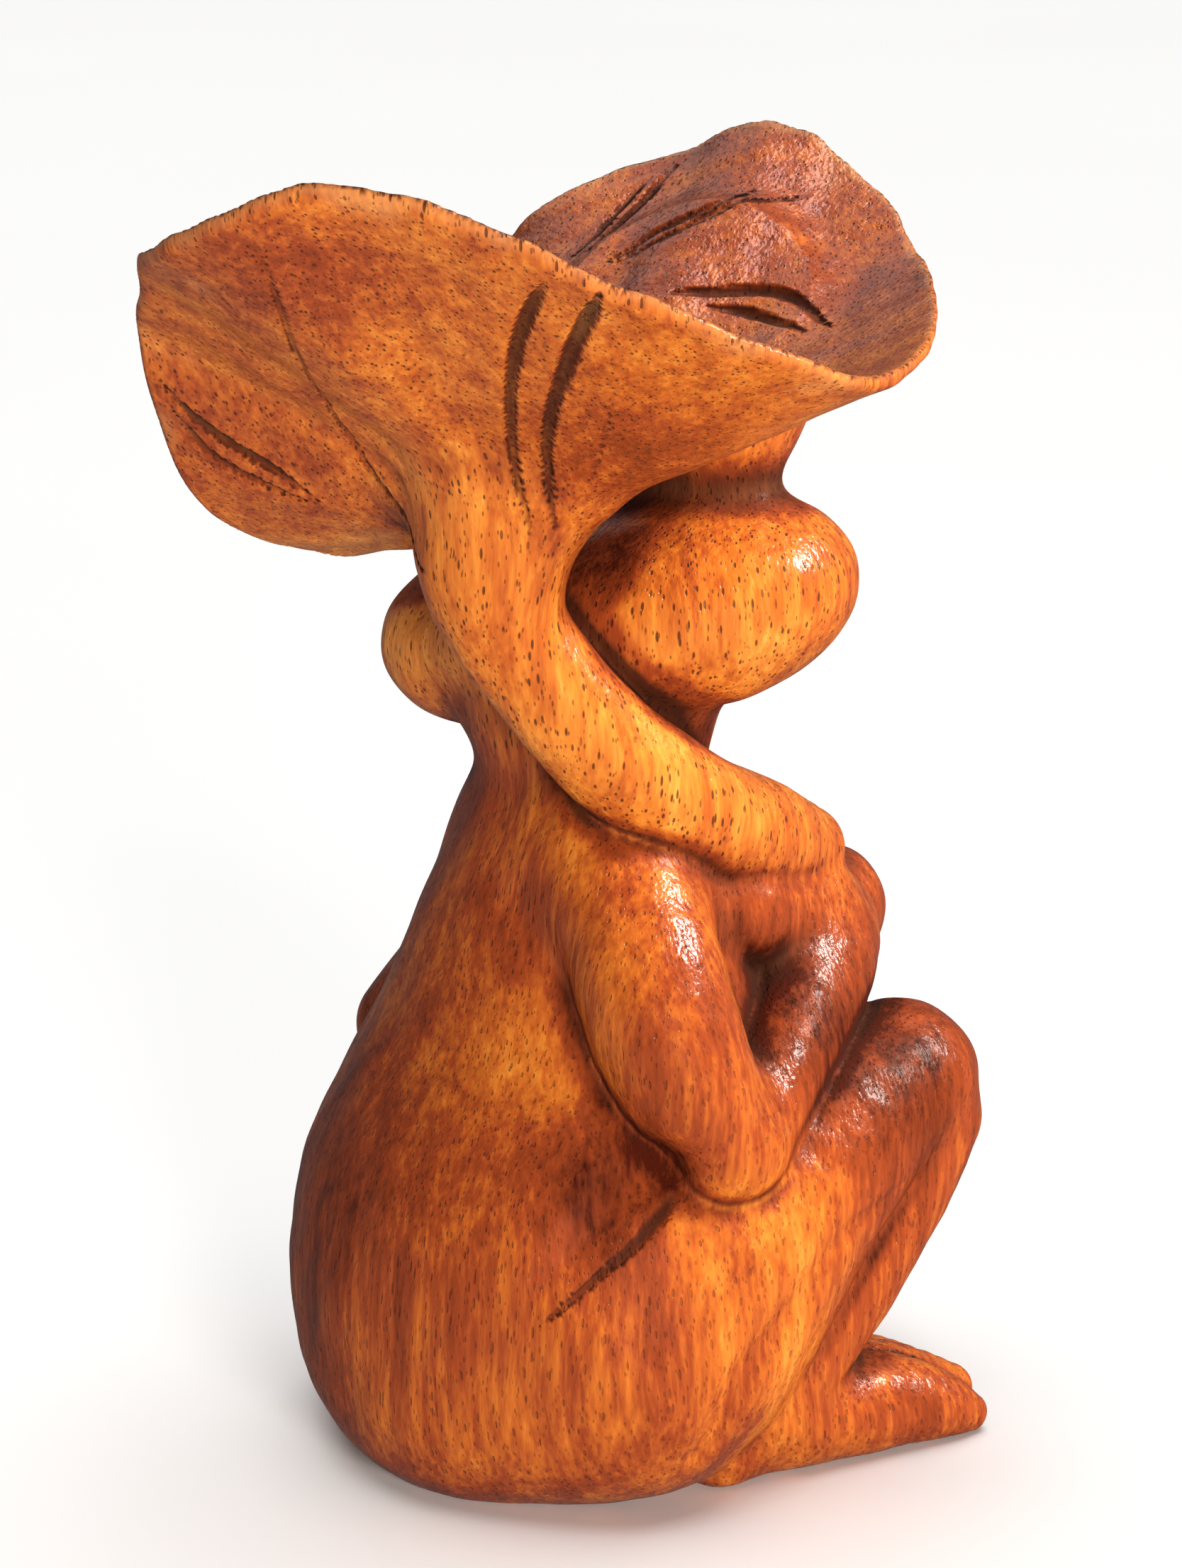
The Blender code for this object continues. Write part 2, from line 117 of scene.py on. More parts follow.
# Knife cuts: each is a row of x, y, z on the surface and the half width of the cut there.
LEAF_CUTS = (
    ((-37.6, 33.8, 115.3, 0.15), (-34.3, 32.5, 113.1, 0.7), (-29.2, 30, 109.5, 0.75),
     (-24.7, 27.3, 105.6, 0.6),
     (-20.9, 24.5, 101.8, 0.55), (-17.9, 22.3, 98.1, 0.5), (-16.4, 20.6, 94.8, 0.4),
     (-15.4, 18.8, 91.4, 0.3),
     (-15.1, 18.2, 89.2, 0.15)),
    ((-41.1, 31.2, 114.7, 0.15), (-38, 29.8, 112.5, 0.8), (-33.4, 27.8, 109.2, 0.85),
     (-28.5, 25.3, 105.5, 0.75),
     (-24.1, 22.9, 101.8, 0.6), (-20.6, 20.6, 98.4, 0.55), (-18, 18.5, 94.8, 0.45),
     (-17.2, 17.6, 92.2, 0.3),
     (-16.2, 16.5, 90.3, 0.15)),
    ((-32.7, 23.3, 105, 0.12), (-26.8, 19.6, 100, 0.26), (-20.7, 16.3, 94.9, 0.12)),
    ((-17.5, 46.5, 116, 0.2), (-14, 42.5, 111.5, 0.38), (-9, 37.5, 106, 0.35), (-3, 31, 100, 0.35),
     (0, 24.5, 94, 0.4), (-2, 21, 89, 0.38), (-7, 21.5, 86, 0.15)),
    ((13, 36.5, 100.5, 0.22), (12.5, 34, 97.5, 0.6), (11, 31, 95, 0.68), (9, 27.5, 92.5, 0.6),
     (7.5, 24, 89.5, 0.15)),
    ((14, 35, 98, 0.15), (14, 33, 96, 0.45), (13.5, 31, 93.5, 0.52), (11, 27, 91, 0.45),
     (8, 24, 89.3, 0.15)),
    ((8, -4, 109, 0.22), (8, -6.5, 110.5, 0.52), (8.5, -9.5, 112.5, 0.52), (8.5, -13, 115, 0.22)),
    ((6.5, -4.5, 109, 0.22), (6.8, -8, 111.2, 0.6), (7, -12, 114, 0.52), (7, -15.2, 116, 0.22)),
    ((3.5, -5, 108.2, 0.22), (1, -8.5, 110.5, 0.45), (-2.5, -11.5, 113, 0.45), (-4, -15, 114.5, 0.15)),
    ((2.5, -5.5, 108, 0.15), (-1.5, -9, 111, 0.38), (-4.5, -13.5, 113.5, 0.38), (-8, -18, 114.5, 0.15)),
    ((-6.3, -4, 107.3, 0.3), (-9, -6.2, 107.4, 0.68), (-12, -9, 107.2, 0.75), (-15.4, -10.3, 106.5, 0.68),
     (-21.5, -9, 105.5, 0.22)),
    ((-9.6, -5, 106.4, 0.22), (-13.3, -7.2, 105.6, 0.68), (-20, -7.6, 104.7, 0.22)),
)
# Vein pairs elsewhere on the leaf: angle about the hub, +1 for the upper face or -1 for the lower.
VEIN_PAIRS = ((108, 1), (152, 1), (68, 1), (196, 1), (20, 1))
VEIN_SHARES = (0.34, 0.5, 0.68, 0.86)
VEIN_WIDTHS = (0.25, 0.75, 0.8, 0.3)
VEIN_SPREAD = 4.5        # degrees to each side of the pair's middle
KNIFE_SLOPE = 2.2        # steepness of a cut's sides
# Folds of the body: rows of x, y, z and half width, then the depth at the widest place.
HIP_FOLD = ((-17.6, 20.8, 22.6, 1.0), (-19.1, 18.3, 25.6, 3.0), (-20, 16, 28.2, 4.2),
            (-20.7, 13.5, 30.3, 4.8),
            (-21.3, 10.6, 32.4, 5.2), (-22.4, 8.6, 34.4, 5.2))
HIP_FOLD_DEPTH = 1.7
HIP_CUT = ((-18.6, 20.4, 20.2, 0.1), (-19.6, 18.2, 22.3, 0.4), (-21, 14.5, 25.4, 0.55),
           (-21.6, 12.1, 27.4, 0.7),
           (-22.0, 9.6, 29.6, 0.9), (-22.4, 8.0, 31.4, 0.7))
TOE_CUTS = (
    ((-15.6, -17.0, 8.4, 0.15), (-15.4, -22.0, 6.6, 0.45), (-15.3, -27.0, 4.4, 0.5),
     (-15.2, -29.5, 2.5, 0.3)),
    ((-18.4, -13.0, 9.4, 0.15), (-18.8, -18.0, 8.2, 0.45), (-19.8, -23.5, 6.0, 0.5),
     (-21.0, -28.0, 3.0, 0.3)),
)
SHIN_FOLD = ((-26.5, -14.3, 28.5, 0.8), (-27.5, -6.5, 25.5, 2.0), (-27.6, 0.2, 19.4, 2.8),
             (-26.9, 5.1, 14.5, 3.0),
             (-24.7, 8.1, 8.1, 2.4))
SHIN_FOLD_DEPTH = 1.5

# Mouth and nostrils, in the head's own frame: x to its left, y forwards, z up from the skull's centre.
MOUTH = ((-19.0, 7.0, 0.4, 0.3), (-15.5, 13.0, -1.8, 0.9), (-9.0, 19.0, -3.2, 1.0), (0.0, 21.0, -3.6, 1.0),
         (9.0, 18.0, -3.4, 1.0), (15.5, 11.5, -2.4, 0.9), (19.5, 5.0, -0.6, 0.3))
NOSTRILS = ((-2.6, 15.2, 3.0), (2.6, 15.2, 3.0))
NOSTRIL_RADIUS = 1.8
NOSTRIL_SLOPE = 0.9
# Eyes and the directions that they look in, along the same axes as the masses.
EYES = ((-3.0, -11.6, 90.8), (7.6, -12.8, 88.2))
EYE_GAZES = ((-0.34, -0.92, 0.18), (0.42, -0.89, 0.16))
EYE_RADIUS = 5.0
EYE_BLEND = 1.4
IRIS_RADIUS = 3.1
IRIS_CUT_WIDTH = 0.55    # half width of the ring that is cut round the iris
IRIS_CUT_DEPTH = 0.6

# Widths over which neighbouring masses flow into each other.
ARM_FREE_BELOW = 47      # height under which the upper arm is undercut from the body
ARM_FREE_OVER = 12       # height over which it then flows into the shoulder
UNDERCUT_BLEND = 0.7     # arm and body below ARM_FREE_BELOW
SHOULDER_BLEND = 7.0     # added to UNDERCUT_BLEND at the shoulder
ELBOW_BLEND = 2.6
PALM_BLEND = 3.0
HIP_BLEND = 6.0
LEG_BLEND = 0.9
ANKLE_BLEND = 1.2
TOE_BLEND = 0.6
HEEL_BLEND = 2.0
LEAF_BLEND = 4.0
CANOPY_BLEND = 0.8       # body and leaf, where the crown doesn't flow into it
TORSO_TOP_ROUNDING = 2.0
BASE_ROUNDING = 0.5
COARSE_WAVES = 0.16      # height of the surface's slight waviness
FINE_WAVES = 0.05

# Pieces: name, material slot, and tone from 0 (dark red-brown) to 1 (golden).
PIECES = (
    ("torso", "torso_wood", 0.43),
    ("thigh_right", "limb_wood", 0.42),
    ("thigh_left", "limb_wood", 0.40),
    ("head", "head_wood", 0.62),
    ("upper_arm_right", "limb_wood", 0.44),
    ("upper_arm_left", "limb_wood", 0.42),
    ("forearm_right", "limb_wood", 0.38),
    ("forearm_left", "limb_wood", 0.38),
    ("shin_right", "limb_wood", 0.50),
    ("shin_left", "limb_wood", 0.48),
    ("foot_right", "foot_wood", 0.50),
    ("foot_left", "foot_wood", 0.50),
    ("stem", "stem_wood", 0.70),
    ("leaf", "leaf_wood", 0.62),
)
NAMES = [row[0] for row in PIECES]
# Patches painted darker or lighter: partly the wood's own tone, partly painted shade where the light falls
# weakly and painted highlights where it falls strongly, as on the elbow and thigh. Each is x, y, z, radius
# and change of tone.
TONE_AND_PAINTED_LIGHT_ZONES = (
    (-17, 44, 114, 11, -0.22), (13, 32, 96, 11, -0.16), (-26, 15, 97, 8, -0.25), (0, -15, 115, 18, -0.26),
    (-24, -16, 109, 11, -0.14), (-43, 13, 105, 7, 0.10), (-12, 6, 84, 7, -0.16), (-15, -3, 90, 6, 0.04),
    (-19, 0, 79, 8, 0.06), (12, 12, 76, 9, 0.18), (-3, 14, 53, 6, -0.09), (4, 9, 65, 9, -0.10),
    (10, 16, 47, 12, 0.04), (5, 25, 22, 15, -0.17), (-19.5, 12, 33, 6.5, -0.34), (-11, 17, 41, 10, 0.20),
    (-15, 10, 58, 6, 0.13), (-20, 10, 53, 5, 0.10), (-21, 18, 14, 11, 0.07), (-27, 1, 30, 7, 0.20),
    (-25, 5, 31, 3, 0.20), (-26, 8, 27, 4, 0.12),
    (-28, 2, 15, 9, 0.18), (-24, -18, 38, 9, -0.28), (-21, -7, 44, 7, -0.20), (-24, 11, 46, 4, -0.04),
    (-24, -8, 5, 8, 0.10), (-24, -21, 3, 6, -0.06),
)

# ---- Meshing
STEP = 0.42
BLOCK = 8                # grid cells along one side of a block
GRID_LOW = (-50.0, -38.0, -1.6)
GRID_HIGH = (32.0, 54.0, 126.0)
FAR = 60.0
# Reaches of a block, in half diagonals: to the surface, to a border between pieces, and to a piece.
SURFACE_REACH, BORDER_REACH, PIECE_REACH = 1.6, 2.6, 2.8
BLEND_MARGIN = 3
CHUNK = 400000           # points worked on at a time
TINY = 1e-6
# Marks that the surface carries for its material, and how far each looks out, or in, for them. From these
# marks the material paints shade into crevices, hollows and knife cuts, lightens convex edges partly as
# wear and partly as a painted highlight, and takes the tone with its painted shade and highlights.
MARKS = ("cavity", "hollow", "edge_wear_and_highlight", "tone", "cut")
CAVITY_REACH, HOLLOW_REACH, EDGE_WEAR_AND_HIGHLIGHT_REACH, CUT_REACH = 1.2, 4.0, 0.7, 0.4
TONE_BLEND = 2.5         # distance over which one mass's tone gives way to the next one's


def smooth_rows(rows, steps):
    """Rows of numbers joined by a Catmull-Rom curve, with `steps` rows to each span."""
    rows = np.array(rows, float)
    knots = np.vstack([2 * rows[0] - rows[1], rows, 2 * rows[-1] - rows[-2]])
    t = np.linspace(0, 1, steps, endpoint=False)[:, None]
    spans = []
    for a, b, c, d in zip(knots, knots[1:], knots[2:], knots[3:]):
        bend = (2 * a - 5 * b + 4 * c - d) * t ** 2 + (3 * b - a - 3 * c + d) * t ** 3
        spans.append(0.5 * (2 * b + (c - a) * t + bend))
    return np.vstack([*spans, rows[-1:]])


def mirrored(rows):
    """The same rows on the other side of the mid plane."""
    return tuple((-x, *rest) for x, *rest in rows)


def blended(a, b, width):
    """The nearer of two fields, rounded over `width` where they are about equal."""
    if not np.any(width):
        return np.minimum(a, b)
    mix = np.clip(0.5 + 0.5 * (b - a) / width, 0, 1)
    return b + (a - b) * mix - width * mix * (1 - mix)


def path_distance(p, rows):
    """Distance to a path less its radius there, for rows of x, y, z and radius."""
    nearest = np.full(p.shape[1], FAR, np.float32)
    for start, end in zip(rows[:-1], rows[1:]):
        along = end[:3] - start[:3]
        offset = p - start[:3, None]
        t = np.clip(along @ offset / (along @ along), 0, 1)
        offset -= along[:, None] * t
        distance = np.sqrt((offset * offset).sum(0)) - (start[3] + (end[3] - start[3]) * t)
        np.minimum(nearest, distance, out=nearest)
    return nearest


def limb(rows, steps=4):
    """Field of a smooth limb, for rows of x, y, z and radius."""
    path = smooth_rows(rows, steps).astype(np.float32)
    return lambda p: path_distance(p, path)


def turn_matrix(yaw, roll):
    """Columns are the axes of a frame turned about z by yaw and then tipped about its own y by roll."""
    a, b = math.radians(yaw), math.radians(roll)
    about_z = np.array([[math.cos(a), -math.sin(a), 0], [math.sin(a), math.cos(a), 0], [0, 0, 1]])
    about_y = np.array([[math.cos(b), 0, math.sin(b)], [0, 1, 0], [-math.sin(b), 0, math.cos(b)]])
    return (about_z @ about_y).astype(np.float32)


def ellipsoid(centre, radii, yaw, roll):
    """Field of a turned ellipsoid."""
    centre = np.array(centre, np.float32)[:, None]
    radii = np.array(radii, np.float32)[:, None]
    turned = turn_matrix(yaw, roll).T

    def field(p):
        q = turned @ (p - centre)
        scaled = np.sqrt(((q / radii) ** 2).sum(0))
        steepness = np.sqrt(((q / radii ** 2) ** 2).sum(0))
        return scaled * (scaled - 1) / np.maximum(steepness, TINY)
    return field


def torso_field():
    """Field of the body, from its table of oval sections."""
    table = smooth_rows(TORSO, 6)

    def field(p):
        x, y, z = p
        half_width, half_depth, centre = [
            np.interp(z, table[:, 0], table[:, column]).astype(np.float32) for column in (1, 2, 3)]
        across, deep = x / half_width, (y - centre) / half_depth
        reach = np.sqrt(across ** 2 + deep ** 2)
        steepness = np.sqrt((across / half_width) ** 2 + (deep / half_depth) ** 2) / np.maximum(reach, 1e-4)
        side = TORSO_SLOPE * (reach - 1) / np.maximum(steepness, 1e-4)
        return -blended(-side, TORSO_TOP - z, TORSO_TOP_ROUNDING)
    return field


def head_point(left, forward, up):
    """A point given in the head's own turned frame, from the centre of the skull."""
    return np.array(HEAD_LOBES[0][0]) + turn_matrix(*HEAD_TURN) @ np.array([left, -forward, up])


def ball(p, centre):
    """Distance from the centre of a ball."""
    return np.sqrt(((p - np.array(centre, np.float32)[:, None]) ** 2).sum(0))


def head_field(leaf):
    """Field of the skull, its crown up to the middle of the leaf, the eyes and the nostrils."""
    lobes = [ellipsoid(*row) for row in (*HEAD_LOBES, NECK)]
    crown = ellipsoid(*CROWN)
    nostrils = [head_point(*row) for row in NOSTRILS]

    def field(p):
        shape = lobes[0](p)
        for lobe in lobes[1:]:
            shape = blended(shape, lobe(p), HEAD_BLEND)
        shape = blended(shape, np.maximum(crown(p), leaf.place(p)[0]), HEAD_BLEND)
        for eye, gaze in zip(EYES, EYE_GAZES):
            away = ball(p, eye)
            shape = blended(shape, away - EYE_RADIUS, EYE_BLEND)
            ahead = np.array(gaze, np.float32) @ (p - np.array(eye, np.float32)[:, None])
            aside = np.sqrt(np.maximum(away ** 2 - ahead ** 2, 0))
            ring = np.clip(1 - np.abs(aside - IRIS_RADIUS) / IRIS_CUT_WIDTH, 0, 1)
            shape = shape + IRIS_CUT_DEPTH * np.where(ahead > 0, ring, 0)
        for nostril in nostrils:
            within = np.clip(NOSTRIL_RADIUS - ball(p, nostril), 0, NOSTRIL_RADIUS)
            shape = shape + NOSTRIL_SLOPE * within
        return shape
    return field


def right_forearm_field():
    forearm, palm = limb(FOREARM_RIGHT), limb(PALM_RIGHT)
    return lambda p: blended(forearm(p), palm(p), PALM_BLEND)


def foot_field(side_of):
    """Field of a foot: three toes and a heel."""
    toes = [limb(side_of(rows)) for rows in TOES]
    heel = limb(side_of(HEEL))

    def field(p):
        shape = toes[0](p)
        for toe in toes[1:]:
            shape = blended(shape, toe(p), TOE_BLEND)
        return blended(shape, heel(p), HEEL_BLEND)
    return field


class Leaf:
    """Cupped sheet that runs from its hub out to the wavy rim, on a funnel that meets the stem."""

    def __init__(self):
        first = [(angle - 360, radius, height) for angle, radius, height in LEAF_RIM]
        last = [(angle + 360, radius, height) for angle, radius, height in LEAF_RIM]
        rim = smooth_rows([*first, *LEAF_RIM, *last], 8)
        self.degrees = np.arange(-180, 181, 1.0)
        self.radius = np.interp(self.degrees, rim[:, 0], rim[:, 1])
        self.height = np.interp(self.degrees, rim[:, 0], rim[:, 2])
        self.rise = np.gradient(self.height, np.radians(self.degrees))
        self.funnel = limb(FUNNEL)

    def rim(self, angle, column):
        return np.interp(angle, self.degrees, column).astype(np.float32)

    def point(self, angle, share, side):
        """A point on the upper (side 1) or lower (side -1) face."""
        angle = (angle + 180) % 360 - 180
        radius = share * float(self.rim(angle, self.radius))
        height = LEAF_HUB[2] + (float(self.rim(angle, self.height)) - LEAF_HUB[2]) * share ** LEAF_CUP
        height += side * (LEAF_EDGE + LEAF_SWELL * (1 - share)) / 2
        turn = math.radians(angle)
        return (LEAF_HUB[0] + radius * math.cos(turn), LEAF_HUB[1] + radius * math.sin(turn), height)

    def place(self, p):
        """Height over the middle of the sheet, share of the way to the rim, and distance from the rim."""
        x, y = p[0] - LEAF_HUB[0], p[1] - LEAF_HUB[1]
        reach = np.sqrt(x * x + y * y) + 1e-3
        angle = np.degrees(np.arctan2(y, x))
        radius = self.rim(angle, self.radius)
        climb = self.rim(angle, self.height) - LEAF_HUB[2]
        share = np.minimum(reach / radius, LEAF_FURTHEST)
        middle = LEAF_HUB[2] + climb * share ** LEAF_CUP
        slope = climb * LEAF_CUP * share ** (LEAF_CUP - 1) / radius
        twist = np.clip(self.rim(angle, self.rise) * share ** LEAF_CUP / reach, -2, 2)
        return (p[2] - middle) / np.sqrt(1 + slope ** 2 + twist ** 2), share, radius - reach

    def sheet(self, p):
        above, share, inside = self.place(p)
        thickness = LEAF_EDGE + LEAF_SWELL * np.clip(1 - share, 0, 1)
        return -blended(thickness / 2 - np.abs(above), inside, LEAF_RIM_ROUNDING)

    def __call__(self, p):
        return blended(self.sheet(p), self.funnel(p), FUNNEL_BLEND)


class Carving:
    """The whole figure as one field, with the share that each piece has in it."""

    def __init__(self):
        self.leaf = Leaf()
        self.fields = {
            "torso": torso_field(),
            "head": head_field(self.leaf),
            "leaf": self.leaf,
            "stem": limb(STEM),
            "upper_arm_right": limb(UPPER_ARM_RIGHT),
            "upper_arm_left": limb(UPPER_ARM_LEFT),
            "forearm_right": right_forearm_field(),
            "forearm_left": limb(FOREARM_LEFT),
        }
        for side_name, side_of in (("right", tuple), ("left", mirrored)):
            self.fields["thigh_" + side_name] = limb(side_of(THIGH))
            self.fields["shin_" + side_name] = limb(side_of(SHIN))
            self.fields["foot_" + side_name] = foot_field(side_of)
        self.cuts = []       # none yet, while the cuts themselves are laid on the surface
        self.cuts = self.laid_cuts()

    def laid_cuts(self):
        """Every knife cut as a fine path that lies on the surface."""
        veins = []
        for angle, side in VEIN_PAIRS:
            for offset in (-VEIN_SPREAD, VEIN_SPREAD):
                rows = []
                for share, width in zip(VEIN_SHARES, VEIN_WIDTHS):
                    bend = offset * (0.4 + share)
                    rows.append((*self.leaf.point(angle + bend, share, side), width))
                veins.append(rows)
        mouth = [(*head_point(*row[:3]), row[3]) for row in MOUTH]
        cuts = [(rows, None) for rows in (*LEAF_CUTS, *veins, mouth)]
        for side_of in (tuple, mirrored):
            cuts += [(side_of(HIP_FOLD), HIP_FOLD_DEPTH), (side_of(SHIN_FOLD), SHIN_FOLD_DEPTH)]
            cuts += [(side_of(rows), None) for rows in (HIP_CUT, *TOE_CUTS)]
        laid = []
        for rows, depth in cuts:
            path = smooth_rows(rows, 4).astype(np.float32)
            points = path[:, :3].T.copy()
            for _ in range(6):
                points = self.towards_surface(points, None, 2.0)
            laid.append((depth, np.hstack([points.T, path[:, 3:]])))
        return laid

    def shares(self, p, near=None):
        """Each piece's field at the points, or FAR where `near` says that the piece is too distant."""
        values = np.full((len(NAMES), p.shape[1]), FAR, np.float32)
        for row, name in zip(values, NAMES):
            chosen = slice(None) if near is None else near[NAMES.index(name)]
            if near is None or chosen.any():
                row[chosen] = self.fields[name](p[:, chosen])
        return values

    def whole(self, p, values, knife=True):
        """Field of the finished figure: the pieces blended, the cuts sunk in, the base flat."""
        pieces = dict(zip(NAMES, values))
        shape = blended(pieces["torso"], pieces["head"], HEAD_BLEND)
        free = np.clip((p[2] - ARM_FREE_BELOW) / ARM_FREE_OVER, 0, 1)
        shoulder = UNDERCUT_BLEND + SHOULDER_BLEND * free * free * (3 - 2 * free)
        for side in ("_right", "_left"):
            shape = blended(shape, pieces["thigh" + side], HIP_BLEND)
        for side in ("_right", "_left"):
            arm = blended(pieces["upper_arm" + side], pieces["forearm" + side], ELBOW_BLEND)
            shape = blended(shape, arm, shoulder)
            leg = blended(pieces["shin" + side], pieces["foot" + side], ANKLE_BLEND)
            shape = blended(shape, leg, LEG_BLEND)
        canopy = blended(pieces["stem"], pieces["leaf"], LEAF_BLEND)
        low, high = CROWN_BLEND_FROM
        flow = np.clip((p[2] - low) / (high - low), 0, 1)
        shape = blended(shape, canopy, CANOPY_BLEND + CROWN_BLEND * flow * flow * (3 - 2 * flow))
        shape = shape + unevenness(p)
        for depth, path in self.cuts:
            if depth is None and not knife:
                continue
            reach = path[:, 3].max() + 0.5
            low, high = path[:, :3].min(0) - reach, path[:, :3].max(0) + reach
            inside = np.all((p > low[:, None]) & (p < high[:, None]), axis=0)
            if not inside.any():
                continue
            within = np.maximum(0, -path_distance(p[:, inside], path))
            if depth is None:
                shape[inside] += KNIFE_SLOPE * within
            else:
                shape[inside] += depth * (within / path[:, 3].max()) ** 2
        return -blended(-shape, p[2], BASE_ROUNDING)

    def __call__(self, p, near=None):
        return self.whole(p, self.shares(p, near))

    def gradient(self, p, near, reach=0.15):
        here = self(p, near)
        slopes = []
        for axis in np.eye(3, dtype=np.float32):
            slopes.append((self(p + axis[:, None] * reach, near) - here) / reach)
        return here, np.array(slopes)

    def towards_surface(self, p, near, furthest=1.5 * STEP):
        """The points after one Newton step to the surface."""
        here, slope = self.gradient(p, near)
        steepness = np.maximum((slope ** 2).sum(0), 0.2)
        return p - slope * np.clip(here / steepness, -furthest, furthest)


def unevenness(p):
    """The slight waviness of a hand-shaped surface."""
    x, y, z = p
    coarse = np.sin(0.42 * x + 1.3) * np.sin(0.38 * y + 0.4) * np.sin(0.33 * z + 2.0)
    fine = np.sin(1.05 * x + 0.5 * z) * np.sin(0.95 * y - 0.4 * z + 0.8)
    return (COARSE_WAVES * coarse + FINE_WAVES * fine).astype(np.float32)


class Grid:
    """Samples of the carving on a regular grid, dense only where two labels can meet."""

    def __init__(self, carving):
        self.carving = carving
        self.low = np.array(GRID_LOW)
        self.blocks = np.ceil((np.array(GRID_HIGH) - self.low) / (STEP * BLOCK)).astype(int)
        centres = (np.argwhere(np.ones(self.blocks, bool)) + 0.5) * BLOCK * STEP + self.low
        centres = centres.T.astype(np.float32)
        values = carving.shares(centres)
        solid = carving.whole(centres, values.copy())
        radius = BLOCK * STEP * math.sqrt(3) / 2
        ordered = np.sort(values, axis=0)
        rivals = ordered[1] - ordered[0] < BORDER_REACH * radius
        wanted = (np.abs(solid) < SURFACE_REACH * radius) | ((solid < 0) & rivals)
        self.near = values < ordered[0] + SHOULDER_BLEND + BLEND_MARGIN + PIECE_REACH * radius
        self.wanted = wanted.reshape(self.blocks)
        self.solid = self.spread(solid)
        self.label = self.spread(np.where(solid < 0, values.argmin(0), -1)).astype(np.int8)
        self.sample()

    def spread(self, values):
        """Block values copied to the grid nodes of each block."""
        values = values.reshape(self.blocks)
        for axis in range(3):
            values = np.repeat(values, BLOCK, axis)
            values = np.concatenate([values, np.take(values, [-1], axis)], axis)
        return values

    def near_at(self, p):
        """Which pieces matter at each of the points."""
        index = ((p - self.low[:, None]) / (STEP * BLOCK)).astype(int)
        index = np.clip(index, 0, self.blocks[:, None] - 1)
        return self.near[:, np.ravel_multi_index(index, self.blocks)]

    def sample(self):
        cells = self.wanted
        for axis in range(3):
            cells = np.repeat(cells, BLOCK, axis)
        nodes = np.zeros(self.solid.shape, bool)
        for corner in np.ndindex(2, 2, 2):
            window = tuple(slice(c, c + n) for c, n in zip(corner, cells.shape))
            nodes[window] |= cells
        index = np.argwhere(nodes)
        for start in range(0, len(index), CHUNK):
            part = index[start:start + CHUNK]
            p = (part * STEP + self.low).T.astype(np.float32)
            values = self.carving.shares(p, self.near_at(p))
            owner = values.argmin(0)
            solid = self.carving.whole(p, values)
            place = tuple(part.T)
            self.solid[place] = solid
            self.label[place] = np.where(solid < 0, owner, -1)


